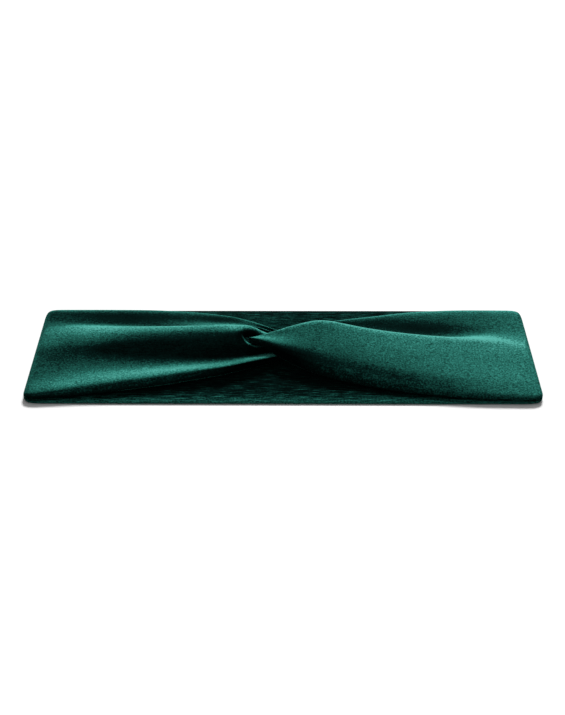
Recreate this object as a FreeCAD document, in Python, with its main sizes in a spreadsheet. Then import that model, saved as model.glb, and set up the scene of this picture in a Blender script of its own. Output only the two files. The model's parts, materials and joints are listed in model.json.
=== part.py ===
import FreeCAD, Part
import os
import Sketcher

# Twisted-front headband of stretch velvet, lying flat.
#
# One velvet panel is sewn along its length into a flat tube, so the band has an outer wall and an
# inner wall everywhere. Each end of the tube is folded lengthwise into a C, the two Cs are clasped
# through each other, and one closing seam joins them under the knot. Lying flat, the loop makes a
# lower layer (the back of the band), two turned ends, and an upper layer that gathers to the knot.
#
# The loop opens to a ring of ten equal sides. A side is a body, so each wall is cut where the ring
# bends. All the bend axes lie in the plane between the two layers.
#
# Frame: +X along the flat loop, +Y towards its far long edge, +Z up. The origin is on the surface
# that the band lies on, below the middle of its outline.

doc = FreeCAD.newDocument("headband")

# ---------------------------------------------------------------------------------------- sizes

sheet = doc.addObject("Spreadsheet::Sheet", "Sizes")

driving = [
    ("loop_length", 240, "flat loop, end to end"),
    ("band_width", 95, "flat tube, edge to edge"),
    ("wall", 0.85, "one thickness of velvet with its pile"),
    ("wall_gap", 0.15, "between the two walls of the tube"),
    ("layer_gap", 0.6, "between the lower and the upper layer"),
    ("thread", 0.3, "seam thread, thickness"),
    ("thread_slack", 0.1, "thread groove, extra width"),
    ("near_ridge_at", 0.18, "near pleat, as a share of the width"),
    ("valley_at", 0.45, "valley between the pleats"),
    ("far_ridge_at", 0.68, "far pleat"),
    ("leaf", 2.7, "one folded leaf of the knot"),
    ("leaf_gap", 0.3, "between the leaves"),
    ("knot_reach", 9, "how far each C passes the middle"),
    ("left_knot_far", 13, "left C, far side of its fold"),
    ("right_knot_near", -17, "right C, near side of its fold"),
    ("left_knot_tip", -15, "left C, near edge of its lower leaf"),
    ("right_knot_tip", 11, "right C, far edge of its upper leaf"),
]

worked_out = [
    ("half_width", "=band_width / 2"),
    ("layer", "=2 * wall + wall_gap"),
    ("bend_height", "=layer + layer_gap / 2"),
    ("upper_base", "=layer + layer_gap"),
    ("band_top", "=2 * layer + layer_gap"),
    ("bend_at_end", "=loop_length / 2 - bend_height"),
    ("side", "=4 * bend_at_end / 10"),
    ("leaf_pitch", "=leaf + leaf_gap"),
    ("fold_height", "=2 * leaf_pitch + leaf"),
]

# Edges and heights of the upper layer where it changes side: near edge, far edge, near pleat,
# valley and far pleat. The two ends of the loop are flat.
stations = {
    "left_mid": (-36, 46, 7.5, 4.8, 8.5),
    "left_neck": (-18, 24, 8.5, 6.5, 12),
    "right_neck": (-29, 15, 9.5, 12, 13.5),
    "right_mid": (-47.5, 38, 5.5, 6, 9.5),
}
station_sizes = ("near", "far", "near_ridge", "valley", "far_ridge")

row = 1


def add_cell(name, content, note=""):
    global row
    sheet.set(f"A{row}", name)
    sheet.set(f"B{row}", content)
    sheet.set(f"C{row}", note)
    sheet.setAlias(f"B{row}", name)
    row += 1


for name, value, note in driving:
    add_cell(name, str(value), note)
for name, formula in worked_out:
    add_cell(name, formula)
for station, values in stations.items():
    for size, value in zip(station_sizes, values):
        add_cell(f"{station}_{size}", str(value))
doc.recompute()


def size(formula):
    """A formula in the sheet's names, ready for setExpression."""
    words = formula.replace("(", " ( ").replace(")", " ) ").split()
    known = [word for word in words if sheet.getCellFromAlias(word)]
    words = [f"Sizes.{word}" if word in known else word for word in words]
    return " ".join(words)


def value_of(formula):
    return float(sheet.evalExpression(size(formula)))


# -------------------------------------------------------------------------------------- helpers

sub_parts = []


def new_body(label):
    body = doc.addObject("PartDesign::Body", label)
    body.Label = label
    sub_parts.append(body)
    return body


def origin_plane(body, role):
    for feature in body.Origin.OriginFeatures:
        if feature.Role == role:
            return feature
    raise ValueError(role)


def draw_outline(body, name, role, corners, along="0"):
    """A closed outline on one of the body's own planes, moved along the plane's normal.

    A corner is (across, up) or (across, up, side). A side of 1 or -1 makes the next edge a half
    circle that bulges towards that side. Every corner is held by the sheet.
    """
    sketch = body.newObject("Sketcher::SketchObject", name)
    sketch.AttachmentSupport = [(origin_plane(body, role), "")]
    sketch.MapMode = "FlatFace"
    sketch.setExpression("AttachmentOffset.Base.z", size(along))
    points = [FreeCAD.Vector(value_of(corner[0]), value_of(corner[1]), 0) for corner in corners]
    count = len(corners)
    for index, corner in enumerate(corners):
        start = points[index]
        end = points[(index + 1) % count]
        if len(corner) == 3:
            bulge = FreeCAD.Vector(corner[2] * start.distanceToPoint(end) / 2, 0, 0)
            sketch.addGeometry(Part.Arc(start, (start + end) / 2 + bulge, end), False)
        else:
            sketch.addGeometry(Part.LineSegment(start, end), False)
    turned = [len(corner) == 3 and corner[2] * (points[(i + 1) % count].y - points[i].y) < 0
              for i, corner in enumerate(corners)]
    for index in range(count):
        following = (index + 1) % count
        end_point = 1 if turned[index] else 2
        start_point = 2 if turned[following] else 1
        sketch.addConstraint(Sketcher.Constraint("Coincident", index, end_point, following, start_point))
    for index, corner in enumerate(corners):
        start_point = 2 if turned[index] else 1
        held = [("DistanceX", start_point, corner[0], points[index].x),
                ("DistanceY", start_point, corner[1], points[index].y)]
        if len(corner) == 3:
            held.append(("DistanceX", 3, corner[0], points[index].x))
        for kind, point, formula, value in held:
            number = sketch.addConstraint(Sketcher.Constraint(kind, -1, 1, index, point, value))
            sketch.setExpression(f"Constraints[{number}]", size(formula))
    return sketch


def pad(body, sketch, length, both_ways=False):
    feature = body.newObject("PartDesign::Pad", f"{body.Label}_pad")
    feature.Profile = sketch
    feature.setExpression("Length", size(length))
    feature.Midplane = both_ways
    return feature


def cut_groove(body, role, corners, along, length):
    """A straight groove, and a check that it took something away."""
    doc.recompute()
    before = body.Shape.Volume
    sketch = draw_outline(body, f"{body.Label}_groove_outline", role, corners, along)
    pocket = body.newObject("PartDesign::Pocket", f"{body.Label}_groove")
    pocket.Profile = sketch
    pocket.setExpression("Length", size(length))
    pocket.Reversed = True
    doc.recompute()
    if body.Shape.Volume >= before:
        raise RuntimeError(f"{body.Label}: the groove cut nothing")


def rectangle(left, right, bottom, top):
    return [(left, bottom), (right, bottom), (right, top), (left, top)]


# ---------------------------------------------------------------------- lower layer, flat sides

# Where each side starts, in sides from the middle of the back.
lower_sides = {
    "left_rear_side": "-2.5",
    "back_left": "-1.5",
    "back_centre": "-0.5",
    "back_right": "0.5",
    "right_rear_side": "1.5",
}
groove_half = "( thread + thread_slack ) / 2"

for label, start in lower_sides.items():
    outer = new_body(f"{label}_outer_cloth")
    outer_outline = rectangle("- half_width", "half_width", "0", "wall")
    pad(outer, draw_outline(outer, f"{label}_outer_outline", "YZ_Plane", outer_outline), "side")

    inner = new_body(f"{label}_inner_cloth")
    inner_outline = rectangle("- half_width", "half_width", "wall + wall_gap", "layer")
    pad(inner, draw_outline(inner, f"{label}_inner_outline", "YZ_Plane", inner_outline), "side")
    groove = rectangle(f"- {groove_half}", groove_half, "layer - thread - thread_slack", "layer")
    cut_groove(inner, "YZ_Plane", groove, "0", "side")

    stitches = new_body(f"{label}_seam_thread")
    thread_outline = rectangle("- thread / 2", "thread / 2", "layer - thread - thread_slack", "layer - thread_slack")
    pad(stitches, draw_outline(stitches, f"{label}_thread_outline", "YZ_Plane", thread_outline), "side")

    for body in (outer, inner, stitches):
        body.setExpression("Placement.Base.x", size(f"{start} * side"))

# ------------------------------------------------------------------------------ the turned ends


def half_ring(centre, outward, outer_radius, inner_radius):
    """The section of a wall that turns half round the bend axis."""
    return [
        (centre, f"bend_height - ( {outer_radius} )", outward),
        (centre, f"bend_height + ( {outer_radius} )"),
        (centre, f"bend_height + ( {inner_radius} )", outward),
        (centre, f"bend_height - ( {inner_radius} )"),
    ]


for side_name, outward in (("left", -1), ("right", 1)):
    centre = f"{outward} * bend_at_end"
    outer = new_body(f"{side_name}_end_outer_cloth")
    ring = half_ring(centre, outward, "bend_height", "bend_height - wall")
    pad(outer, draw_outline(outer, f"{side_name}_end_outer_ring", "XZ_Plane", ring), "band_width", True)

    inner = new_body(f"{side_name}_end_inner_cloth")
    ring = half_ring(centre, outward, "bend_height - wall - wall_gap", "layer_gap / 2")
    pad(inner, draw_outline(inner, f"{side_name}_end_inner_ring", "XZ_Plane", ring), "band_width", True)

# ------------------------------------------------------------- upper layer, gathered to the knot

flat_end = {
    "near": "- half_width",
    "far": "half_width",
    "near_ridge": "band_top",
    "valley": "band_top",
    "far_ridge": "band_top",
}


def station_names(station):
    if station == "end":
        return flat_end
    return {name: f"{station}_{name}" for name in station_sizes}


def outer_section(station):
    """The outer wall across the band: both edges low, two pleats and a valley between them."""
    at = station_names(station)

    def across(share):
        return f"( 1 - {share} ) * {at['near']} + {share} * {at['far']}" if share else at["near"]

    # The minus sign of the flat end's near edge needs brackets of its own.
    at["near"] = f"( {at['near']} )"
    top = [
        (across(""), "band_top"),
        (across("near_ridge_at"), at["near_ridge"]),
        (across("valley_at"), at["valley"]),
        (across("far_ridge_at"), at["far_ridge"]),
        (at["far"], "band_top"),
    ]
    under = [(across_formula, f"{up} - wall") for across_formula, up in reversed(top)]
    return top + under


def inner_section(station):
    at = station_names(station)
    return rectangle(at["near"], at["far"], "upper_base", "upper_base + wall")


def loft(body, sketches):
    feature = body.newObject("PartDesign::AdditiveLoft", f"{body.Label}_loft")
    feature.Profile = sketches[0]
    feature.Sections = sketches[1:]
    feature.Ruled = True
    feature.Closed = False
    return feature


# Each side of the upper layer: where it starts and ends, and its section there.
upper_sides = {
    "left_front_side": ("-2.5", "end", "-1.5", "left_mid"),
    "front_left": ("-1.5", "left_mid", "-0.5", "left_neck"),
    "front_right": ("0.5", "right_neck", "1.5", "right_mid"),
    "right_front_side": ("1.5", "right_mid", "2.5", "end"),
}

for label, (start, start_station, end, end_station) in upper_sides.items():
    ends = ((start, start_station), (end, end_station))

    outer = new_body(f"{label}_outer_cloth")
    loft(outer, [draw_outline(outer, f"{label}_outer_{number}", "YZ_Plane", outer_section(station), f"{at} * side")
                 for number, (at, station) in enumerate(ends)])

    inner = new_body(f"{label}_inner_cloth")
    loft(inner, [draw_outline(inner, f"{label}_inner_{number}", "YZ_Plane", inner_section(station), f"{at} * side")
                 for number, (at, station) in enumerate(ends)])
    groove = rectangle(f"- {groove_half}", groove_half, "upper_base", "upper_base + thread + thread_slack")
    cut_groove(inner, "YZ_Plane", groove, f"{start} * side", "side")

    stitches = new_body(f"{label}_seam_thread")
    thread_outline = rectangle("- thread / 2", "thread / 2", "upper_base + thread_slack",
                               "upper_base + thread_slack + thread")
    pad(stitches, draw_outline(stitches, f"{label}_thread_outline", "YZ_Plane", thread_outline,
                               f"{start} * side"), "side")

# ------------------------------------------------------------------------------------- the knot


def folded_c(fold_centre, outward, lower_tip, upper_tip, base):
    """Two leaves joined by a half-round fold. The clasped partner's leaf fits between them."""
    top = f"{base} + fold_height"
    return [
        (lower_tip, base),
        (fold_centre, base, outward),
        (fold_centre, top),
        (upper_tip, top),
        (upper_tip, f"{top} - leaf"),
        (fold_centre, f"{top} - leaf", outward),
        (fold_centre, f"{base} + leaf"),
        (lower_tip, f"{base} + leaf"),
    ]


left_centre = "left_knot_far - fold_height / 2"
right_centre = "right_knot_near + fold_height / 2"

left_c = new_body("left_knot_fold")
left_outline = folded_c(left_centre, 1, "left_knot_tip", f"{right_centre} + leaf_gap", "upper_base")
pad(left_c, draw_outline(left_c, "left_knot_outline", "YZ_Plane", left_outline, "-0.5 * side"),
    "side / 2 + knot_reach")

right_c = new_body("right_knot_fold")
right_outline = folded_c(right_centre, -1, f"{left_centre} - leaf_gap", "right_knot_tip",
                         "upper_base + leaf_pitch")
pad(right_c, draw_outline(right_c, "right_knot_outline", "YZ_Plane", right_outline, "- knot_reach"),
    "side / 2 + knot_reach")

# The closing seam runs across the underside of the knot, in a groove in the left C.
groove = rectangle(f"- {groove_half}", groove_half, "upper_base", "upper_base + thread + thread_slack")
cut_groove(left_c, "XZ_Plane", groove, f"- ( {left_centre} )", "half_width")

closing_seam = new_body("closing_seam_thread")
seam_outline = rectangle("- thread / 2", "thread / 2", "upper_base + thread_slack",
                         "upper_base + thread_slack + thread")
pad(closing_seam, draw_outline(closing_seam, "closing_seam_outline", "XZ_Plane", seam_outline,
                               f"- ( {left_centre} )"), f"{left_centre} - left_knot_tip")

# ---------------------------------------------------------------------------- check and write out

doc.recompute()
for item in doc.Objects:
    if "Invalid" in item.State or "Error" in item.State:
        raise RuntimeError(f"{item.Label} failed: {item.State}")
for body in sub_parts:
    if body.Shape.isNull() or not body.Shape.isValid():
        raise RuntimeError(f"{body.Label} has no valid shape")

os.makedirs("parts", exist_ok=True)
for body in sub_parts:
    body.Shape.exportStep(f"parts/{body.Label}.step")
    print(body.Label, round(body.Shape.Volume, 1), "mm3")
print(len(sub_parts), "sub-parts; side", round(value_of("side"), 3), "mm")
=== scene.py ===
import json
import math

import bmesh
import bpy
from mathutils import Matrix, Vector
from mathutils.bvhtree import BVHTree
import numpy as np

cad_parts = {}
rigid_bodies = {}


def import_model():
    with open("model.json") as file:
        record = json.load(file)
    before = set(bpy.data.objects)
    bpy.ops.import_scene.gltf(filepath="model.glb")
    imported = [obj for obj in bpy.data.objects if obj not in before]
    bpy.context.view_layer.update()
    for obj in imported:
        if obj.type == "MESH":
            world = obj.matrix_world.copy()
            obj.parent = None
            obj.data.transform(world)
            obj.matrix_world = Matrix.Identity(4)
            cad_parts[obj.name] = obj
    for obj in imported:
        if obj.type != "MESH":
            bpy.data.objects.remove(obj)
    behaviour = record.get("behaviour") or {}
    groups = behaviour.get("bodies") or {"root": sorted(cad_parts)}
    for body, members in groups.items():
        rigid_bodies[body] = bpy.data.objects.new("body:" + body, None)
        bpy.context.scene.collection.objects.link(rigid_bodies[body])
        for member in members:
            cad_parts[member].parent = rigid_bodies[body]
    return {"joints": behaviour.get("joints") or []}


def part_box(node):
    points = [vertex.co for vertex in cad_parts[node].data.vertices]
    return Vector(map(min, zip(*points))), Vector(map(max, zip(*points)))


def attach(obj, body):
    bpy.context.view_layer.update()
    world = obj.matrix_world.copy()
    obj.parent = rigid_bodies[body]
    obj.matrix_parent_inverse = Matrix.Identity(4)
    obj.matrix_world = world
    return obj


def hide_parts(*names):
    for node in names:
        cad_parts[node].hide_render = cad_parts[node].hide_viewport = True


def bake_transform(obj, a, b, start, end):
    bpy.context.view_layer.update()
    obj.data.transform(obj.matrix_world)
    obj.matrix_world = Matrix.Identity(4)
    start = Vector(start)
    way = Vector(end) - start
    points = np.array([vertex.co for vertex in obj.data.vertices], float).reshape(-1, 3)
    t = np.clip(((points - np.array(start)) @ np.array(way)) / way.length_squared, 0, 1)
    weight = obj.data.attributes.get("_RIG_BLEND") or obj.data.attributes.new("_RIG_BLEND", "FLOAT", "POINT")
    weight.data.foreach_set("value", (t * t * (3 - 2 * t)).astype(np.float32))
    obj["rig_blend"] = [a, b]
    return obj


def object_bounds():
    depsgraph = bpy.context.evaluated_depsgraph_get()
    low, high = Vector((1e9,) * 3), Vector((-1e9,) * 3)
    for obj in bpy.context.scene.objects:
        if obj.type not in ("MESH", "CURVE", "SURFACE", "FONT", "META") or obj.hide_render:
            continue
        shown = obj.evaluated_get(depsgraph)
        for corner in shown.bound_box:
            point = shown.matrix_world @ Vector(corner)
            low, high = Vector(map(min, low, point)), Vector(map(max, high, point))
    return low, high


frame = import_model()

cad_low, cad_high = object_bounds()


# ------------------------------------------------------------------------------ camera and room
# A low three-quarter view from the front, a pale floor that runs out of sight, one large soft
# light high behind the band, as velvet is lit to show its pile, and a weak even fill.

MM = 0.001

scene = bpy.context.scene
scene.view_settings.view_transform = "Standard"

camera_data = bpy.data.cameras.new("camera")
camera_data.sensor_fit = "HORIZONTAL"
camera_data.angle = math.radians(18.81)
camera_data.clip_start = 0.01
camera = bpy.data.objects.new("camera", camera_data)
camera.location = (2 * MM, -734.4 * MM, 375.3 * MM)
CAMERA_DOWN = math.radians(27.05)
CAMERA_SWING = math.radians(0.185)
camera.rotation_euler = (math.pi / 2 - CAMERA_DOWN, 0, CAMERA_SWING)
scene.collection.objects.link(camera)
scene.camera = camera

world = bpy.data.worlds.new("room")
world.use_nodes = True
fill = world.node_tree.nodes["Background"]
fill.inputs["Color"].default_value = (1, 1, 1, 1)
fill.inputs["Strength"].default_value = 0.3
scene.world = world

SUN_HEIGHT = math.radians(42)
SUN_SWING = math.radians(-8)
sun = bpy.data.lights.new("key_behind", "SUN")
sun.energy = 4.2
sun.angle = math.radians(18)
sun_holder = bpy.data.objects.new("key_behind", sun)
sun_holder.rotation_euler = (-(math.pi / 2 - SUN_HEIGHT), 0, SUN_SWING)
scene.collection.objects.link(sun_holder)

FLOOR_REACH = 6
floor_corners = [(x * FLOOR_REACH, y * FLOOR_REACH, 0)
                 for x, y in ((-1, -1), (1, -1), (1, 1), (-1, 1))]
floor_mesh = bpy.data.meshes.new("floor")
floor_mesh.from_pydata(floor_corners, [], [(0, 1, 2, 3)])
floor = bpy.data.objects.new("floor", floor_mesh)
scene.collection.objects.link(floor)
floor_paint = bpy.data.materials.new("floor_paint")
floor_paint.use_nodes = True
floor_shader = floor_paint.node_tree.nodes["Principled BSDF"]
floor_shader.inputs["Base Color"].default_value = (0.9, 0.9, 0.9, 1)
floor_shader.inputs["Roughness"].default_value = 0.9
floor_mesh.materials.append(floor_paint)

# ------------------------------------------------------------------------------ the gathered front
# The pleats of the clasped halves are lines that run along the band, listed from the near edge to
# the far edge. A line's points are (along, across, up) in millimetres, from the flat end to the
# clasp. A painted highlight runs along some pleats; the table after each half's pleats says how
# strong it is.

left_pleats = {
    "near edge": [(-118, -47.5, 2.8), (-106.5, -46, 2.9), (-94, -43.5, 3), (-79.5, -41, 3),
                  (-60.5, -36.5, 3.1), (-43.5, -31, 3.2), (-27.5, -25, 3.3), (-14, -17.5, 3.4),
                  (-3.5, -11, 3.4), (8, -6, 4.5)],
    "rolled front": [(-118, -47.3, 3.6), (-106.5, -45.8, 4.2), (-93.5, -43.8, 4.9), (-79.5, -41.8, 5.8),
                     (-60.5, -38, 6.6), (-43.5, -32.4, 7), (-27.5, -26.3, 7.2), (-14, -19.3, 7),
                     (-3.5, -13.5, 6.4), (8, -6.2, 5.2)],
    "near pleat": [(-118, -45, 4.4), (-107.5, -42.6, 5.2), (-94, -41, 6.3), (-80, -39, 7.4),
                   (-61, -35.3, 8.4), (-43.5, -30.4, 8.7), (-27, -26, 8.7), (-14, -19.6, 8.4),
                   (-4, -13.8, 7.8), (8, -5, 6)],
    "near pleat's back": [(-118, -38, 4.5), (-108.5, -36, 5), (-94.5, -34, 5.8), (-81, -32.4, 6.7),
                          (-61.5, -28.8, 7.4), (-43.5, -24.8, 7.7), (-27.5, -21.5, 7.7),
                          (-14.5, -15.5, 7.5), (-5, -10.2, 7), (8, -4, 6.2)],
    "valley": [(-118, -27, 4.2), (-110, -25, 4.2), (-96, -23, 4.2), (-82, -21.5, 4.2), (-62, -18.5, 4.1),
               (-44.5, -15.5, 4.1), (-27.5, -13, 4.3), (-14.5, -8.6, 4.6), (-6, -5, 4.8), (8, -3, 6.2)],
    "valley's far side": [(-118, -11, 4.2), (-97, -9.5, 4.6), (-83, -9, 5), (-62.5, -9.5, 5.3),
                          (-44.5, -8.5, 5.4), (-28, -7.5, 5.6), (-16, -5.5, 6), (-6, -3, 5.6),
                          (8, -2, 6.2)],
    "wall's foot": [(-118, -3, 4.4), (-98, -3, 5.6), (-83, -4, 6.8), (-63, -4, 7.4), (-44.5, -4, 7.8),
                    (-28, -4, 8.2), (-19.5, -4, 8.2), (-14.5, -4.3, 7.4), (-6, -2, 6), (8, -1.2, 6.2)],
    "slot's lower lip": [(-118, 4, 4.8), (-98.5, 2.5, 6.6), (-83.5, 0.5, 8.2), (-63, 0.5, 8.9),
                         (-45, 0.5, 9.4), (-28, 0, 9.9), (-22, 0.5, 10.5), (-20.2, 1.8, 10.9),
                         (-19.2, 1, 10.6), (-18.4, -0.8, 10), (-17, -2.8, 9.3), (-14, -4.6, 8.2),
                         (-6, -1, 6.6), (8, -0.4, 6.2)],
    "slot": [(-118, 10, 5), (-99, 9.5, 7.1), (-84, 6, 8.8), (-63.5, 5.5, 9.7), (-45, 5.5, 10.3),
             (-28, 4.5, 11), (-22, 4.5, 11.5), (-20.3, 4.6, 11.6), (-19.2, 3.6, 9), (-18, 3.4, 7.8),
             (-15.5, 2.5, 6.6), (-9, 2.5, 6.2), (8, 0.3, 6.2)],
    "slot's upper lip": [(-118, 16, 5.1), (-99.5, 16, 7.2), (-84.5, 12, 8.9), (-64, 10, 10),
                         (-45.5, 9.5, 10.8), (-28.5, 8, 11.6), (-23, 7.6, 12), (-19, 5.4, 12.1),
                         (-15.5, 3.4, 11.9), (-12, 2.4, 11.3), (-9, 4, 9.8), (-4, 5, 7.4), (8, 1, 6.2)],
    "far pleat": [(-118, 21, 4.9), (-100.5, 22, 6.4), (-85.5, 18.5, 8), (-64.5, 16.5, 9.2),
                  (-45.5, 15.5, 10.2), (-28.5, 14, 11.3), (-23, 13, 11.9), (-18, 12, 12.4),
                  (-15, 10.5, 12.4), (-12.5, 8.3, 12.2), (-11, 6.3, 11.6), (-9, 6, 10.2), (-4, 7, 8),
                  (8, 1.6, 6.1)],
    "far pleat's back": [(-118, 26, 4.6), (-100, 25.5, 5), (-85.5, 22.5, 5.6), (-64, 20.5, 6.6),
                         (-45, 19, 7.8), (-28.5, 17, 9), (-23, 15.5, 9.6), (-18, 13.8, 10.4),
                         (-14, 12.2, 10.4), (-11, 10.5, 9.8), (-9, 9.5, 9), (-4, 9, 7.6), (8, 2.2, 6)],
    "hollow": [(-118, 31, 4.3), (-91, 27.5, 4.3), (-77, 25.5, 4.4), (-64, 23.5, 4.7), (-50, 22, 5.4),
               (-32.5, 19.5, 6.8), (-23, 17, 8), (-17, 14.8, 8.6), (-13, 13, 8.8), (-9, 11, 8.4),
               (-4, 9.8, 7.6), (8, 2.7, 5.9)],
    "small pleat": [(-118, 35, 4.3), (-91, 32, 4.4), (-77, 29.5, 4.5), (-64, 27, 4.8), (-50, 24.5, 5.6),
                    (-32.5, 20.5, 8), (-23, 17.8, 9.6), (-15, 15, 10.6), (-13, 14, 10.8),
                    (-10.5, 12.5, 10.6), (-8, 11.5, 10.2), (-5, 10.6, 9.2), (0, 9.5, 7.4), (8, 3.1, 5.8)],
    "gap": [(-118, 39, 4.4), (-91, 37.5, 4.6), (-64, 34, 4.6), (-50, 31, 4.7), (-32.5, 26, 5.2),
            (-23, 22.5, 6.2), (-15, 18, 7), (-10, 15.2, 7.2), (-5, 12.6, 7), (0, 10.8, 6.4), (8, 3.5, 5.5)],
    "far strand": [(-118, 43.5, 4.7), (-85, 43, 5.2), (-64, 42.5, 5.2), (-49.5, 41, 5), (-34.5, 37.2, 5.4),
                   (-26.5, 33.3, 6.3), (-21.5, 29.5, 7.2), (-16.5, 25, 8.1), (-12.5, 21, 9), (-9, 17, 9.7),
                   (-5, 14, 9.7), (0, 12, 8.4), (8, 3.8, 5.2)],
    "far edge": [(-118, 47.6, 3.4), (-64, 47, 3.5), (-49, 45.2, 3.6), (-34, 41, 4.1), (-26, 36.8, 4.8),
                 (-21, 32.8, 5.4), (-16, 28, 6), (-12, 23.6, 6.6), (-8.5, 19.2, 7), (-4.5, 16.2, 7),
                 (0, 14, 6.4), (8, 4, 4.6)],
}

# Painted highlights along the left half's pleats, and how strong each is.
left_painted_highlights = {"rolled front": 0.15, "near pleat": 0.14, "near pleat's back": 0.06, "slot's upper lip": 0.14,
                "far pleat": 0.12}

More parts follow.
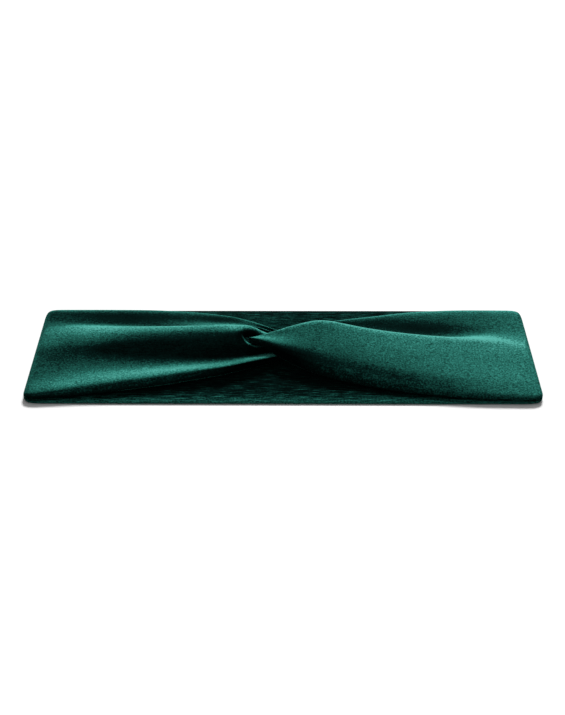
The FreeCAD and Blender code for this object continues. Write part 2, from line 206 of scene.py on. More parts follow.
right_pleats = {
    "near edge": [(118, -47.5, 2.8), (90.5, -46.5, 2.9), (67.5, -43.2, 3.1), (45, -38, 3.3),
                  (26.5, -31, 3.8), (17.5, -26.5, 4.4), (8, -21, 5.4), (0.5, -15.5, 6.8), (-3.5, -12, 7.8),
                  (-7.5, -8, 9), (-12, -3.8, 10), (-16.3, -1.2, 10.8)],
    "rolled front": [(118, -47.3, 3.4), (90.5, -46.3, 3.8), (67.5, -43.2, 4.3), (45, -38, 5),
                     (26.5, -31, 6), (17.5, -27, 6.8), (8, -22, 7.8), (0.5, -16.5, 8.8), (-3.5, -12.8, 9.6),
                     (-7.5, -8.6, 10.2), (-12, -4.6, 11), (-16.3, -1.4, 11.2)],
    "roll": [(118, -46.3, 4.1), (90.5, -45, 4.8), (67.5, -41.5, 5.8), (45, -36.5, 7.3), (26.5, -30, 9),
             (17, -26, 10), (8, -20.8, 10.8), (0.5, -15.6, 11.5), (-3.5, -12, 12), (-7.5, -8.3, 12.2),
             (-12, -3.8, 12.2), (-16.3, -1.4, 11.6)],
    "tip's ridge": [(118, -38, 4.7), (90, -37, 6), (68, -34, 7.6), (45, -29, 9.4), (27, -22.5, 10.9),
                    (12, -16.5, 11.9), (4, -12.5, 12.3), (-3.5, -8.4, 12.5), (-8, -5.5, 12.5),
                    (-12, -3, 12.2), (-16.3, -1.2, 11.7)],
    "ridge's back": [(118, -30, 4.7), (90, -28, 6.2), (68, -26.5, 8), (45, -22.5, 10), (27, -17, 11.5),
                     (12, -11.5, 12.2), (4, -8.5, 12.3), (-3.5, -5.4, 12.3), (-8, -3.4, 12.2),
                     (-12, -1.7, 12), (-16.3, -1, 11.7)],
    "body 1": [(118, -21, 4.7), (90, -19, 6.2), (68, -18.5, 8.2), (45, -16, 10.4), (27, -11.5, 12),
               (12, -6.5, 12.5), (4, -4.5, 12.2), (-3.5, -2.6, 11.9), (-8, -1.6, 11.8),
               (-12, -0.8, 11.7), (-16.3, -0.9, 11.6)],
    "body 2": [(118, -13, 4.7), (90, -11, 6.2), (68, -11, 8.2), (45, -9.5, 10.7), (27, -6.3, 12.5),
               (12, -2, 12.8), (4, -0.8, 12.2), (-3.5, -0.2, 11.6), (-8, 0, 11.4), (-12, 0, 11.4),
               (-16.3, -0.8, 11.5)],
    "body 3": [(118, -6, 4.8), (90, -4, 6.3), (68, -4, 8.2), (45, -3.5, 10.9), (27, -1.2, 13),
               (12, 2.5, 13.2), (4, 2.6, 12.4), (-3.5, 1.9, 11.7), (-8, 1.4, 11.2), (-12, 0.8, 11.2),
               (-16.3, -0.7, 11.4)],
    "body 4": [(118, -1, 4.9), (90, 2, 6.4), (68, 2, 8.4), (45, 2, 11.4), (27, 3.6, 13.7), (16, 7, 14),
               (12, 6.6, 13.6), (4, 5.4, 12.8), (-3.5, 3.5, 11.9), (-8, 2.5, 11.2), (-12, 1.5, 11.1),
               (-16.3, -0.6, 11.3)],
    "crest's front": [(118, 0, 4.9), (110, 2, 5.3), (102.5, 3.5, 6), (94.5, 4.5, 6.6), (86, 4.5, 7.1),
                      (77.5, 4.5, 7.7), (69.5, 4.5, 8.4), (61, 4.8, 9.3), (52.5, 4.6, 10.4),
                      (44.5, 4.8, 11.7), (36, 5.4, 12.9), (27.5, 7, 14), (21.5, 8.6, 14.5),
                      (16.5, 9.4, 14.5), (11.5, 8.8, 14), (4.5, 6.8, 13), (-0.5, 5, 12.4),
                      (-4.5, 3.8, 11.8), (-8, 3, 11.3), (-12, 2, 11.1), (-16.3, -0.6, 11.2)],
    "crest": [(118, 3, 4.9), (110.5, 6, 5.5), (102.5, 8, 6.2), (94, 9, 6.8), (86, 9.3, 7.1),
              (77.5, 9.2, 7.7), (69.5, 9.2, 8.4), (61, 9.4, 9.3), (52.5, 9, 10.4), (44.5, 9, 11.7),
              (36, 9.4, 13), (27.5, 11, 14.2), (21.5, 12.3, 14.7), (16.5, 12.8, 14.7), (11.5, 11.8, 14.1),
              (4.5, 9.3, 13.3), (-0.5, 6.8, 12.7), (-4.5, 5.3, 12.1), (-8, 4, 11.4), (-10.5, 3.2, 11.1),
              (-16.3, -0.6, 11.1)],
    "crest's back": [(118, 8, 4.7), (110, 10.5, 5), (102, 12.5, 5.4), (94.5, 12.4, 5.3), (86, 11.6, 5.2),
                     (77.5, 11, 5.4), (69.5, 10.8, 5.9), (61, 10.8, 6.6), (52.5, 10.6, 7.6),
                     (44.5, 10.6, 8.9), (36, 11.2, 10.6), (27.5, 12.8, 12.4), (21.5, 14.2, 13),
                     (16.5, 14.4, 12.9), (11.5, 13.2, 12.5), (4.5, 10.4, 12.1), (-0.5, 7.6, 11.8),
                     (-4.5, 5.8, 11.3), (-8, 4.3, 10.8), (-12, 2.3, 10.7), (-16.3, -0.6, 10.9)],
    "hollow": [(118, 17, 4.4), (102, 18, 4.4), (94.5, 16, 4.3), (86, 13.8, 4.2), (77.5, 12.8, 4.3),
               (69.5, 12.4, 4.5), (61, 12.2, 5), (52.5, 12.2, 5.6), (44.5, 12.6, 6.6), (36, 13.8, 8.1),
               (27.5, 15.4, 9.8), (21.5, 16.2, 10.8), (16.5, 15.4, 11), (11.5, 13.8, 11.2),
               (4.5, 10.6, 11.2), (-0.5, 7.8, 11), (-4.5, 5.8, 10.8), (-8, 4.2, 10.4), (-12, 2, 10.5),
               (-16.3, -0.7, 10.8)],
    "valley": [(118, 26, 4.3), (94.5, 25, 4.2), (85, 23.5, 4.2), (73, 22.5, 4.3), (58, 21, 4.6),
               (43, 18.5, 5.6), (30.5, 17, 7.8), (21.5, 16.6, 9.6), (16.5, 15.6, 10), (11.5, 13.6, 10.4),
               (4.5, 10.4, 10.6), (-0.5, 7.4, 10.6), (-4.5, 5.4, 10.4), (-8, 3.8, 10.1), (-12, 1.6, 10.3),
               (-16.3, -0.8, 10.7)],
    "valley's far side": [(118, 35, 4.3), (94.5, 35, 4.3), (73, 34, 4.5), (58, 30.5, 5), (43, 25.5, 6.2),
                          (30.5, 20.5, 8.6), (21, 17, 9.8), (16.5, 15.4, 9.8), (11.5, 13.2, 10),
                          (4.5, 10, 10.3), (-0.5, 7, 10.3), (-4.5, 5, 10.2), (-8, 3.4, 10),
                          (-12, 1.3, 10.2), (-16.3, -0.9, 10.6)],
    "far strand": [(118, 43, 4.8), (90, 43, 5.2), (66, 41, 5.2), (53.5, 36.5, 6.1), (41, 31, 7.2),
                   (35.5, 28, 8.2), (28, 23.3, 9.7), (21, 17.8, 10.9), (16.5, 15.6, 10.4), (11.5, 13, 9.7),
                   (4.5, 9.6, 10), (-0.5, 6.6, 10.1), (-4.5, 4.6, 10), (-8, 3, 9.9), (-12, 1, 10.1),
                   (-16.3, -1, 10.5)],
    "far edge": [(118, 47.6, 3.4), (84, 47.2, 3.5), (66, 44.8, 3.7), (53.5, 39.8, 4.4), (41, 34, 5.4),
                 (35, 30.6, 6.2), (28, 25.8, 7.6), (21, 19.6, 9), (16.5, 16, 9.6), (11.5, 12.8, 9.4),
                 (4.5, 9, 9.6), (-0.5, 6, 9.8), (-4.5, 4, 9.8), (-8, 2.4, 9.8), (-12, 0.6, 10),
                 (-16.3, -1.1, 10.4)],
}

# Painted highlights along the right half's pleats, and how strong each is.
right_painted_highlights = {"rolled front": 0.06, "roll": 0.1, "body 3": 0.06, "body 4": 0.12, "crest's front": 0.2,
                 "crest": 0.3}

# -------------------------------------------------------------------------------------- the tube
# One unbroken tube of velvet. It is shaped as rings: each ring goes once round the tube, over the
# outer wall from the near edge to the far edge and back along the inner wall. The gathered front's
# rings follow its pleats, and the rings of the back and of the two turned ends are flat.

half_length = cad_high[0]
half_width = cad_high[1]
joint_at = {joint["name"]: joint["pos_m"] for joint in frame["joints"]}
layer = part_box("back_centre_inner_cloth")[1][2]
front_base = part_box("left_front_side_inner_cloth")[0][2]
bend_height = joint_at["left_end_fold"][2]
end_bend = joint_at["right_end_fold"][0]
CORNER = 5.5 * MM
NEAR_ROLL = 1.4 * MM
FAR_ROLL = 2.4 * MM
EDGE_DEPTH = 0.2
OUTER_LINES = len(left_pleats)
INNER_LINES = range(OUTER_LINES - 2, 0, -2)


def along_line(line, x):
    """A pleat's place at x, straight between its points."""
    points = sorted(line)
    x = min(max(x, points[0][0]), points[-1][0])
    for (x0, y0, z0), (x1, y1, z1) in zip(points, points[1:]):
        if x <= x1:
            share = (x - x0) / (x1 - x0)
            return Vector((x, y0 + (y1 - y0) * share, z0 + (z1 - z0) * share))


def corner_share(x):
    """The share of the width that is left where the loop's corners are rounded."""
    inside = half_length - abs(x)
    if inside >= CORNER:
        return 1
    return 1 - (CORNER - math.sqrt(max(CORNER ** 2 - (CORNER - inside) ** 2, 0))) / half_width


def pleated_ring(pleats, x):
    ring = [along_line(line, x / MM) * MM for line in pleats.values()]
    for number in INNER_LINES:
        point = ring[number].copy()
        point.z = max(point.z - layer, front_base)
        ring.append(point)
    return [Vector((x, point.y, point.z)) for point in ring]


def flat_ring(place, outward, far_edge):
    """A ring of the flat tube. outward is the way that the outer wall faces."""
    across = [line[0][1] * MM for line in left_pleats.values()]
    across[1] = across[0] + NEAR_ROLL
    across[-2] = far_edge - FAR_ROLL
    across[-1] = far_edge
    outer = [(spot, 1) for spot in across]
    outer[0] = (across[0], EDGE_DEPTH)
    outer[-1] = (across[-1], EDGE_DEPTH)
    ring = outer + [(across[number], -1) for number in INNER_LINES]
    return [Vector((place.x, spot, place.z)) + outward * (depth * layer / 2)
            for spot, depth in ring]


rings = []
fronts_and_highlights = []
row_of = {}


def add_ring(ring, name=None, front=0, pleat_highlights=()):
    """name marks a ring where the tube is cut. front is 1 where the ring is pleated. The last argument gives
    each point's painted highlight.
    """
    if name:
        row_of[name] = len(rings)
    rings.append([Vector((point.x, point.y * corner_share(point.x), point.z)) for point in ring])
    fronts_and_highlights.append((front, list(pleat_highlights) + [0] * (len(ring) - len(pleat_highlights))))


def add_pleats(pleats, painted_highlights, x, name=None):
    add_ring(pleated_ring(pleats, x), name, 1, [painted_highlights.get(line, 0) for line in pleats])


def add_turn(hand, angles):
    """A turned end, from one layer round to the other. hand is -1 at the left and 1 at the right."""
    for angle in map(math.radians, angles):
        outward = Vector((hand * math.cos(angle), 0, math.sin(angle)))
        place = Vector((hand * end_bend, 0, bend_height)) + outward * (bend_height - layer / 2)
        add_ring(flat_ring(place, outward, TURN_EDGE), front=0.5)


# The tube's cuts are one side of the ten-sided ring apart. The back layer's far edge shows behind
# the front, so it is a little wider, and narrows again to the turned ends.
side = 4 * end_bend / 10
BACK_EDGE = 51.7 * MM
TURN_EDGE = 47 * MM
EDGE_TAPER = 20 * MM
add_pleats(left_pleats, left_painted_highlights, 8 * MM, "left tip")
for x in (3, -1, -5, -9, -12, -14, -16, -17.4, -18.4, -19.2, -20.2, -22, -26, -32, -39):
    add_pleats(left_pleats, left_painted_highlights, x * MM)
add_pleats(left_pleats, left_painted_highlights, -side, "front left")
for x in (-56, -66, -76, -86):
    add_pleats(left_pleats, left_painted_highlights, x * MM)
add_pleats(left_pleats, left_painted_highlights, -2 * side, "left end front")
for x in (-102, -109, -114, -117):
    add_pleats(left_pleats, left_painted_highlights, x * MM)
add_turn(-1, (60, 30, 0, -30, -60))

back_places = {"left end back": -2 * side, "back left": -side, "back centre": 0, "back right": side,
               "right end back": 2 * side}
for stop in (-117, -112, -104, "left end back", -80, -64, "back left", -30, -15, "back centre", 15, 30,
             "back right", 64, 80, "right end back", 104, 112, 117):
    x = back_places[stop] if stop in back_places else stop * MM
    far_edge = TURN_EDGE + (BACK_EDGE - TURN_EDGE) * min(1, (half_length - abs(x)) / EDGE_TAPER)
    back_ring = flat_ring(Vector((x, 0, layer / 2)), Vector((0, 0, -1)), far_edge)
    add_ring(back_ring, stop if stop in back_places else None)

add_turn(1, (-60, -30, 0, 30, 60))
for x in (117, 114, 109, 102):
    add_pleats(right_pleats, right_painted_highlights, x * MM)
add_pleats(right_pleats, right_painted_highlights, 2 * side, "right end front")
for x in (86, 76, 66, 56):
    add_pleats(right_pleats, right_painted_highlights, x * MM)
add_pleats(right_pleats, right_painted_highlights, side, "front right")
for x in (39, 32, 26, 21, 16, 12, 8, 4, 0, -4, -8, -11, -14):
    add_pleats(right_pleats, right_painted_highlights, x * MM)
add_pleats(right_pleats, right_painted_highlights, -16.3 * MM, "right tip")

ring_size = len(rings[0])
faces = []
for row in range(len(rings) - 1):
    for column in range(ring_size):
        following = (column + 1) % ring_size
        a = row * ring_size
        b = a + ring_size
        faces.append((a + column, a + following, b + following, b + column))
mesh = bpy.data.meshes.new("band_cage")
mesh.from_pydata([point for ring in rings for point in ring], [], faces)
cage = bpy.data.objects.new("band_cage", mesh)
scene.collection.objects.link(cage)

# The last attribute holds each point's painted highlight along the pleats.
for name in ("along", "inner", "front", "lift"):
    mesh.attributes.new(name, "FLOAT", "POINT")
for index in range(len(mesh.vertices)):
    row, column = divmod(index, ring_size)
    mesh.attributes["along"].data[index].value = row
    mesh.attributes["inner"].data[index].value = 1 if column >= OUTER_LINES else 0
    mesh.attributes["front"].data[index].value = fronts_and_highlights[row][0]
    mesh.attributes["lift"].data[index].value = fronts_and_highlights[row][1][column]

# The cloth's own lengths: along the band, then over the outer wall and back along the inner wall.
along_lengths = [0]
for before, after in zip(rings, rings[1:]):
    step = sum(after, Vector()) / ring_size - sum(before, Vector()) / ring_size
    along_lengths.append(along_lengths[-1] + step.length)


def running_lengths(points, total):
    """Each point's place along the points, counted so that the last one stands at the total."""
    lengths = [0]
    for before, after in zip(points, points[1:]):
        lengths.append(lengths[-1] + (after - before).length)
    return [length * total / lengths[-1] for length in lengths]


round_lengths = []
for ring in rings:
    over = running_lengths(ring[:OUTER_LINES], 2 * half_width)
    under = running_lengths(ring[OUTER_LINES - 1:] + ring[:1], 2 * half_width)
    round_lengths.append(over + [2 * half_width + length for length in under[1:]])
uv_layer = mesh.uv_layers.new(name="cloth")
for number, face in enumerate(mesh.polygons):
    row, column = divmod(number, ring_size)
    spots = ((row, column), (row, column + 1), (row + 1, column + 1), (row + 1, column))
    for loop, (spot_row, spot_column) in zip(face.loop_indices, spots):
        uv_layer.data[loop].uv = (along_lengths[spot_row], round_lengths[spot_row][spot_column])

SMOOTHING = 3
smoother = cage.modifiers.new("smooth", "SUBSURF")
smoother.levels = SMOOTHING
smoother.render_levels = SMOOTHING
smoothed = cage.evaluated_get(bpy.context.evaluated_depsgraph_get())
tube = bpy.data.meshes.new_from_object(smoothed)
bpy.data.objects.remove(cage)

# ------------------------------------------------------------------------------------- the velvet
# Stretch velvet: a knitted ground with a short dense pile. Its colour runs from near black to
# bright green along a stored brightness with painted light in it: where real velvet turns near
# black or bright green as its pile faces the light or the eye, the slopes, edges and hollows are
# painted darker or lighter, and the shader's own sheen is weak. The inner wall's pile is crushed
# and shows the knit's lengthwise rows.

# How strongly each shows in the pile's brightness, and how far the seam's shade reaches.
SPECKLE = 1.5
SPECKLE_IN_DARK = 0.12
PATCHES = 0.12
OUTER_ROWS = 0.22
INNER_ROWS = 1.15
SEAM_SHADE = 0.35
SEAM_REACH = 0.9 * MM


class Value:
    """A shader node's output that Python's operators work on."""

    def __init__(self, paint, socket):
        self.paint = paint
        self.socket = socket

    def _math(self, operation, *others, clamp=False):
        return self.paint.node("ShaderNodeMath", {"operation": operation, "use_clamp": clamp},
                               dict(enumerate((self, *others))))

    def __add__(self, other):
        return self._math("ADD", other)

    __radd__ = __add__

    def __mul__(self, other):
        return self._math("MULTIPLY", other)

    __rmul__ = __mul__

    def __sub__(self, other):
        return self._math("SUBTRACT", other)

    def __rsub__(self, other):
        return (self * -1) + other

    def __truediv__(self, other):
        return self._math("DIVIDE", other)

    def __abs__(self):
        return self._math("ABSOLUTE")

    def clamped(self):
        return self._math("MULTIPLY", 1, clamp=True)


class Paint:
    """One material. node() adds any node, sets it and its sockets, and gives back an output."""

    def __init__(self, name):
        self.material = bpy.data.materials.new(name)
        self.material.use_nodes = True
        self.tree = self.material.node_tree
        self.shader = self.tree.nodes["Principled BSDF"]

    def node(self, kind, settings=None, sockets=None, output=0):
        made = self.tree.nodes.new(kind)
        for name, value in (settings or {}).items():
            if name == "stops":
                ramp = made.color_ramp
                while len(ramp.elements) < len(value):
                    ramp.elements.new(0.5)
                for element, (position, colour) in zip(ramp.elements, value):
                    element.position = position
                    element.color = (*colour, 1)
            else:
                setattr(made, name, value)
        for name, value in (sockets or {}).items():
            self.feed(made.inputs[name], value)
        return Value(self, made.outputs[output])

    def feed(self, socket, value):
        if isinstance(value, Value):
            self.tree.links.new(value.socket, socket)
        else:
            socket.default_value = value

    def finish(self, sockets):
        for name, value in sockets.items():
            self.feed(self.shader.inputs[name], value)
        return self.material


def velvet(seam_at):
    """seam_at is the long seam's place round the tube, in metres of cloth.

    The attribute read below holds how bright the pile lies, with painted shade and painted
    highlights in it. The speckle is single tufts and the patches are places where the pile leans
    together.
    """
    paint = Paint("velvet")
    cloth = paint.node("ShaderNodeUVMap", {"uv_map": "cloth"})
    nap = paint.node("ShaderNodeAttribute", {"attribute_name": "nap"}, output="Fac")
    inner = paint.node("ShaderNodeAttribute", {"attribute_name": "inner"}, output="Fac")
    place = paint.node("ShaderNodeTexCoord", output="Object")
    speckle = paint.node("ShaderNodeTexNoise", {}, {"Vector": place, "Scale": 1300, "Detail": 1})
    patches = paint.node("ShaderNodeTexNoise", {}, {"Vector": place, "Scale": 160, "Detail": 2})
    rows_at = paint.node("ShaderNodeMapping", {}, {"Vector": cloth, "Scale": (130, 1900, 1)})
    rows = paint.node("ShaderNodeTexNoise", {}, {"Vector": rows_at, "Scale": 1, "Detail": 2})
    round_tube = paint.node("ShaderNodeSeparateXYZ", {}, {"Vector": cloth}, output="Y")
    seam = 1 - (abs(round_tube - seam_at) / SEAM_REACH).clamped()
    # The stored brightness already holds painted shade and painted highlights; the speckle, patches and rows
    # are the cloth's own.
    light = nap + (speckle - 0.5) * SPECKLE * (nap + SPECKLE_IN_DARK) + (patches - 0.5) * PATCHES
    light = light + (rows - 0.5) * (OUTER_ROWS + inner * INNER_ROWS) - seam * SEAM_SHADE
    stops = [(0, (0.0003, 0.0012, 0.0011)),
             (0.2, (0.0015, 0.010, 0.0085)),
             (0.45, (0.010, 0.080, 0.063)),
             (0.7, (0.028, 0.190, 0.155)),
             (1, (0.085, 0.370, 0.315))]
    colour = paint.node("ShaderNodeValToRGB", {"stops": stops}, {"Fac": light.clamped()})
    height = speckle * 0.6 + rows * 0.4 - seam * 0.8
    bump = paint.node("ShaderNodeBump", {},
                      {"Height": height, "Strength": 0.4, "Distance": 0.3 * MM})
    return paint.finish({"Base Color": colour, "Roughness": 0.95, "Specular IOR Level": 0.0,
                         "Sheen Weight": 0.12, "Sheen Roughness": 0.3,
                         "Sheen Tint": (0.25, 0.85, 0.75, 1), "Normal": bump})


SEAM_AT = 3 * half_width
velvet_paint = velvet(SEAM_AT)

# Painted highlights and painted shade on the front, such as the painted shadow in the valley behind
# the right crest and in the clasp's hollows: (along, across), its reach along and across, all in
# millimetres, and by how much.
painted_light_spots = [((-96, 11), (20, 12), 0.24),
           ((-114, 6), (7, 6), 0.15),
           ((-60, 33), (55, 10), -0.24),
           ((-27, 30), (14, 8), -0.15),
           ((-112, -10), (14, 30), -0.06),
           ((-104, -38), (16, 6), 0.12),
           ((-22, 9), (6, 4), 0.2),
           ((-16.5, 4), (4, 3), -0.5),
           ((-90, -28), (30, 10), 0.06),
           ((70, 22), (34, 11), -0.42),
           ((94, 11), (18, 6), 0.28),
           ((-14, -18), (26, 9), -0.36),
           ((30, -4), (30, 16), 0.09),
           ((100, -20), (30, 40), 0.04)]


# How bright the pile lies on the pleated front, on the flat back and on the crushed inner wall,
# and the painted light laid over it: slopes to the far side are painted lighter and slopes to the
# near side darker, the dark strip inside the near edge is a painted shadow of the clasp, the near
# edge is painted lighter and inner faces turned to the far side are painted darker. The pleated
# front is brighter towards the right. Places are in millimetres.
PLEATED_NAP = 0.44
PLEATED_RISE = 0.10
SLOPE_GAIN = 1.3
SLOPE_LEAST = -0.26
SLOPE_MOST = 0.45
BACK_NAP = 0.42
CRUSHED_NAP = 0.17
NEAR_EDGE_AT = -49
NEAR_EDGE_REACH = 5.5
NEAR_EDGE_GAIN = 0.26
DARK_STRIP_AT = -26
DARK_STRIP_REACH = 14
DARK_STRIP_LOSS = 0.15
FAR_FOLD_LOSS = 0.5


def fading(distance, reach):
    """1 at a place, and fading out beyond its reach."""
    return math.exp(-(distance / reach) ** 2)


def paint_pile_and_light(mesh):
    """Paints how bright the pile lies, with painted light in it: the pleats are painted brighter where they
    slope to the far side and darker where they face the near side.
    """
    nap = mesh.attributes.new("nap", "FLOAT", "POINT")
    inner = mesh.attributes["inner"].data
    front = mesh.attributes["front"].data
    lift = mesh.attributes["lift"].data
    for number, vertex in enumerate(mesh.vertices):
        along = vertex.co.x / MM
        across = vertex.co.y / MM
        far_slope = vertex.normal.y
        outer_base = PLEATED_NAP + PLEATED_RISE * vertex.co.x / half_length
        for (x, y), (reach_x, reach_y), change in painted_light_spots:
            away = ((along - x) / reach_x) ** 2 + ((across - y) / reach_y) ** 2
            outer_base += change * math.exp(-away)
        # Painted light: slopes to the far side are painted lighter, slopes to the near side darker, with
        # painted highlights along some pleats.
        slope = max(SLOPE_LEAST, min(SLOPE_MOST, far_slope))
        outer = outer_base + SLOPE_GAIN * slope + lift[number].value
        near_edge = fading(across - NEAR_EDGE_AT, NEAR_EDGE_REACH)
        far_fold = max(0, far_slope)
        # A painted shadow of the clasp darkens the strip inside the near edge; the near edge is painted
        # lighter and faces turned to the far side are painted darker.
        crushed_and_painted_light = CRUSHED_NAP - DARK_STRIP_LOSS * fading(across - DARK_STRIP_AT, DARK_STRIP_REACH)
        crushed_and_painted_light = crushed_and_painted_light + NEAR_EDGE_GAIN * near_edge - FAR_FOLD_LOSS * far_fold
        on_back = 1 - front[number].value
        plain = BACK_NAP + (crushed_and_painted_light - BACK_NAP) * max(inner[number].value, near_edge, far_fold)
        pleated = outer + (crushed_and_painted_light - outer) * inner[number].value
        nap.data[number].value = plain * on_back + pleated * (1 - on_back)


paint_pile_and_light(tube)

# --------------------------------------------------------------------------------- the ten pieces
# The tube is cut where the CAD model's flat sides meet half-way, so each piece holds one bend and
# blends between the two bodies that the bend joins. Eight are cut here and two for the clasp.

# How far a bend's turning reaches to either side of its joint, in a side and at an end fold, and
# where it starts and ends beside the clasp, as shares of the joint's distance from the middle.
BEND_REACH = 9 * MM
FOLD_REACH = 0.15 * MM
KNOT_BEND_START = 1.5
KNOT_BEND_END = 0.8


def cut_piece(name, first_row, last_row):
    """The part of the tube between two rings, closed at both ends."""
    cloth = bmesh.new()
    cloth.from_mesh(tube)
    along = cloth.verts.layers.float["along"]
    middle = {face: sum(v[along] for v in face.verts) / len(face.verts) for face in cloth.faces}
    outside = [face for face, at in middle.items() if not first_row < at < last_row]
    bmesh.ops.delete(cloth, geom=outside, context="FACES")
    rim = [edge for edge in cloth.edges if edge.is_boundary]
    caps = bmesh.ops.holes_fill(cloth, edges=rim)["faces"]
    for edge in rim:
        edge.smooth = False
    bmesh.ops.triangulate(cloth, faces=caps)
    bmesh.ops.recalc_face_normals(cloth, faces=cloth.faces)
    made = bpy.data.meshes.new(name)
    cloth.to_mesh(made)
    cloth.free()
    made.materials.append(velvet_paint)
    made.shade_smooth()
    piece = bpy.data.objects.new(name, made)
    scene.collection.objects.link(piece)
    return piece


def bend_span(name):
    """Where the cloth starts and stops turning at a joint."""
    x = joint_at[name][0]
    if name.endswith("end_fold"):
        return Vector((0, 0, bend_height - FOLD_REACH)), Vector((0, 0, bend_height + FOLD_REACH))
    reach = math.copysign(BEND_REACH, x)
    if name.endswith("knot_bend"):
        return Vector((x * KNOT_BEND_START, 0, 0)), Vector((x * KNOT_BEND_END, 0, 0))
    if "front" in name:
        return Vector((x + reach, 0, 0)), Vector((x - reach, 0, 0))
    return Vector((x - reach, 0, 0)), Vector((x + reach, 0, 0))


# name, the rings it is cut between, its joint, the sides whose two walls it stands for, and the
# cloth that it lies on
sides = [
    ("front_left", "front left", "left end front", "left_front_bend", ["front_left"],
     ["velvet_back_left_side"]),
    ("left_end", "left end front", "left end back", "left_end_fold", ["left_front_side"], []),
    ("back_left_side", "left end back", "back left", "left_rear_side_bend", ["left_rear_side"], []),
    ("back_left", "back left", "back centre", "left_back_bend", ["back_left"], []),
    ("back_right", "back centre", "back right", "right_back_bend", ["back_centre", "back_right"],
     []),
    ("back_right_side", "back right", "right end back", "right_rear_side_bend",
     ["right_rear_side"], []),
    ("right_end", "right end back", "right end front", "right_end_fold", ["right_front_side"], []),
    ("front_right", "right end front", "front right", "right_front_bend", ["front_right"],
     ["velvet_back_right_side"]),
]
joint_bodies = {joint["name"]: (joint["parent"], joint["child"]) for joint in frame["joints"]}
for name, first, last, joint, walls, below in sides:
    piece = cut_piece("velvet_" + name, row_of[first], row_of[last])
    for wall in walls + ([name] if name.endswith("_end") else []):
        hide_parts(wall + "_outer_cloth", wall + "_inner_cloth")
    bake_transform(piece, *joint_bodies[joint], *bend_span(joint))

# ------------------------------------------------------------------------------------- the clasp
# The tube's two ends are folded lengthwise, one through the other. The left one makes the slot that
# the right one's tip goes into. Their flat size is an assumption: each end is taken to be cut
# narrower towards its tip, 36 mm wide there, while the CAD model's ends are straight.

clasped = [("left", "left tip", "front left", ["velvet_back_left", "velvet_back_right"]),
           ("right", "front right", "right tip", ["velvet_knot_left", "velvet_back_right"])]
for hand, first, last, below in clasped:
    knot = cut_piece("velvet_knot_" + hand, row_of[first], row_of[last])
    joint = hand + "_knot_bend"
    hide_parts(hand + "_knot_fold")
    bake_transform(knot, *joint_bodies[joint], *bend_span(joint))

# -------------------------------------------------------------------------------------- stitches
# Small lockstitches in a matching twisted polyester. They run along the long seam in the middle of
# the inner wall, in one row for each of six sides and one on either side of the two end folds, but
# not in the clasp. A closing row crosses the underside of the clasp.


def thread():
    """The sewing thread's paint, with fine fibres."""
    paint = Paint("thread")
    place = paint.node("ShaderNodeTexCoord", output="Object")
    fibres = paint.node("ShaderNodeTexNoise", {}, {"Vector": place, "Scale": 4000, "Detail": 2})
    stops = [(0.3, (0.004, 0.030, 0.025)), (0.7, (0.020, 0.120, 0.100))]
    colour = paint.node("ShaderNodeValToRGB", {"stops": stops}, {"Fac": fibres})
    bump = paint.node("ShaderNodeBump", {}, {"Height": fibres, "Strength": 0.5, "Distance": 0.1 * MM})
    return paint.finish({"Base Color": colour, "Roughness": 0.5, "Sheen Weight": 0.2, "Normal": bump})


thread_paint = thread()
STITCH_LENGTH = 2.2 * MM
STITCH_GAP = 0.8 * MM
STITCH_RADIUS = 0.22 * MM
STITCH_SLANT = 0.12


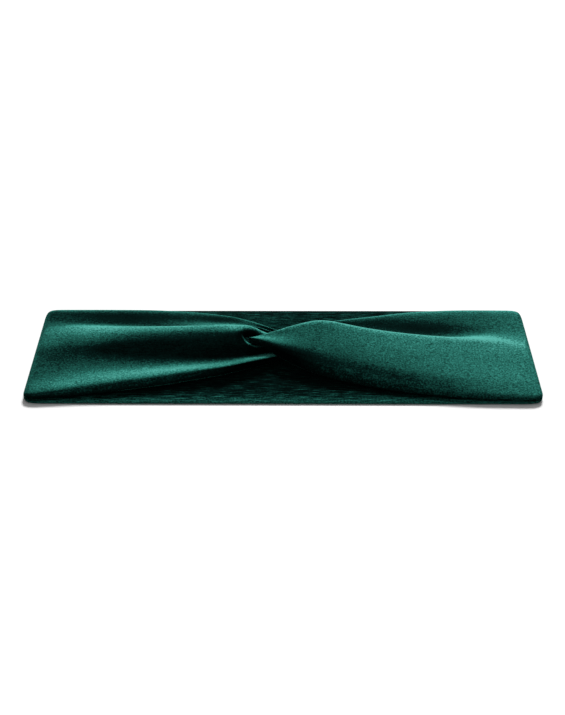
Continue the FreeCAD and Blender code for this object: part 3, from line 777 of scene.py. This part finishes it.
def stitch_tree():
    """Geometry nodes that turn a chain of edges into a row of stitches."""
    tree = bpy.data.node_groups.new("stitch_row", "GeometryNodeTree")
    panel = tree.interface
    panel.new_socket("Row", in_out="INPUT", socket_type="NodeSocketGeometry")
    sizes = {"Stitch length": STITCH_LENGTH, "Gap": STITCH_GAP, "Thread radius": STITCH_RADIUS}
    for name, size in sizes.items():
        size_socket = panel.new_socket(name, in_out="INPUT", socket_type="NodeSocketFloat")
        size_socket.default_value = size
    panel.new_socket("Seed", in_out="INPUT", socket_type="NodeSocketInt").default_value = 5
    panel.new_socket("Stitches", in_out="OUTPUT", socket_type="NodeSocketGeometry")

    def node(kind, settings=None, sockets=None):
        made = tree.nodes.new(kind)
        for name, value in (settings or {}).items():
            setattr(made, name, value)
        for name, value in (sockets or {}).items():
            if isinstance(value, bpy.types.NodeSocket):
                tree.links.new(value, made.inputs[name])
            else:
                made.inputs[name].default_value = value
        return made.outputs

    given = node("NodeGroupInput")
    curve = node("GeometryNodeMeshToCurve", {}, {"Mesh": given["Row"]})["Curve"]
    pitch = node("ShaderNodeMath", {"operation": "ADD"},
                 {0: given["Stitch length"], 1: given["Gap"]})["Value"]
    spots = node("GeometryNodeResampleCurve", {"mode": "LENGTH"},
                 {"Curve": curve, "Length": pitch})["Curve"]
    tangent = node("GeometryNodeInputTangent")["Tangent"]
    facing = node("FunctionNodeAlignEulerToVector", {"axis": "X"}, {"Vector": tangent})["Rotation"]
    slant = node("FunctionNodeRandomValue", {"data_type": "FLOAT_VECTOR"},
                 {0: (0, 0, -STITCH_SLANT), 1: (0, 0, STITCH_SLANT), "Seed": given["Seed"]})[0]
    turned = node("FunctionNodeRotateEuler", {"rotation_type": "EULER"},
                  {"Rotation": facing, "Rotate By": slant})["Rotation"]
    ball = node("GeometryNodeMeshUVSphere", {},
                {"Segments": 8, "Rings": 6, "Radius": given["Thread radius"]})["Mesh"]
    stretch = node("ShaderNodeMath", {"operation": "DIVIDE"},
                   {0: given["Stitch length"], 1: given["Thread radius"]})["Value"]
    half = node("ShaderNodeMath", {"operation": "MULTIPLY"}, {0: stretch, 1: 0.5})["Value"]
    scale = node("ShaderNodeCombineXYZ", {}, {"X": half, "Y": 1.0, "Z": 1.0})["Vector"]
    stitch = node("GeometryNodeTransform", {}, {"Geometry": ball, "Scale": scale})["Geometry"]
    placed = node("GeometryNodeInstanceOnPoints", {},
                  {"Points": spots, "Instance": stitch, "Rotation": turned})["Instances"]
    real = node("GeometryNodeRealizeInstances", {}, {"Geometry": placed})["Geometry"]
    smooth = node("GeometryNodeSetShadeSmooth", {}, {"Geometry": real})["Geometry"]
    painted = node("GeometryNodeSetMaterial", {}, {"Geometry": smooth, "Material": thread_paint})
    node("NodeGroupOutput", {}, {"Stitches": painted["Geometry"]})
    return tree


stitches = stitch_tree()
surface = BVHTree.FromPolygons([vertex.co for vertex in tube.vertices],
                               [list(face.vertices) for face in tube.polygons])


def stitch_row(name, spots):
    """Stitches along the spots, sunk to half their thickness in the velvet below them."""
    on_cloth = [surface.find_nearest(spot)[0] for spot in spots]
    chain = bpy.data.meshes.new(name)
    chain.from_pydata(on_cloth, [(n, n + 1) for n in range(len(spots) - 1)], [])
    row = bpy.data.objects.new(name, chain)
    scene.collection.objects.link(row)
    modifier = row.modifiers.new("stitches", "NODES")
    modifier.node_group = stitches
    for item in stitches.interface.items_tree:
        if item.in_out == "INPUT" and item.socket_type != "NodeSocketGeometry":
            modifier[item.identifier] = item.default_value
    made = row.evaluated_get(bpy.context.evaluated_depsgraph_get())
    row.data = bpy.data.meshes.new_from_object(made)
    row.data.name = name
    row.modifiers.clear()
    return row


def seam_spot(ring):
    """Half-way along the ring's inner wall."""
    under = ring[OUTER_LINES - 1:] + ring[:1]
    marks = list(zip(running_lengths(under, 1), under))
    for (start, before), (end, after) in zip(marks, marks[1:]):
        if end >= 0.5:
            return before.lerp(after, (0.5 - start) / (end - start))


for name, first, last, joint, walls, below in sides:
    seam = [seam_spot(ring) for ring in rings[row_of[first]:row_of[last] + 1]]
    if name.endswith("_end"):
        # No stitch crosses the fold itself: one row lies on each side of it.
        for body in joint_bodies[joint]:
            on_front = "front" in body
            on_this_side = [spot for spot in seam if (spot.z > bend_height) == on_front]
            row = stitch_row("stitches_" + body, on_this_side)
            if on_front:
                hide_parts(body + "_seam_thread")
            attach(row, body)
        continue
    row = stitch_row("stitches_" + name, seam)
    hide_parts(*[wall + "_seam_thread" for wall in walls])
    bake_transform(row, *joint_bodies[joint], *bend_span(joint))

# The closing stitches cross the underside of the left end, where it lies over the back.
thread_low, thread_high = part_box("closing_seam_thread")
closing = []
for share in (0.15, 0.3, 0.45, 0.6, 0.75):
    y = thread_low[1] + (thread_high[1] - thread_low[1]) * share
    above_back = Vector(((thread_low[0] + thread_high[0]) / 2, y, 1.2 * layer))
    found = surface.ray_cast(above_back, Vector((0, 0, 1)))[0]
    if found:
        closing.append(found)
closing_row = stitch_row("stitches_closing", closing)
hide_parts("closing_seam_thread")
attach(closing_row, "knot_left")
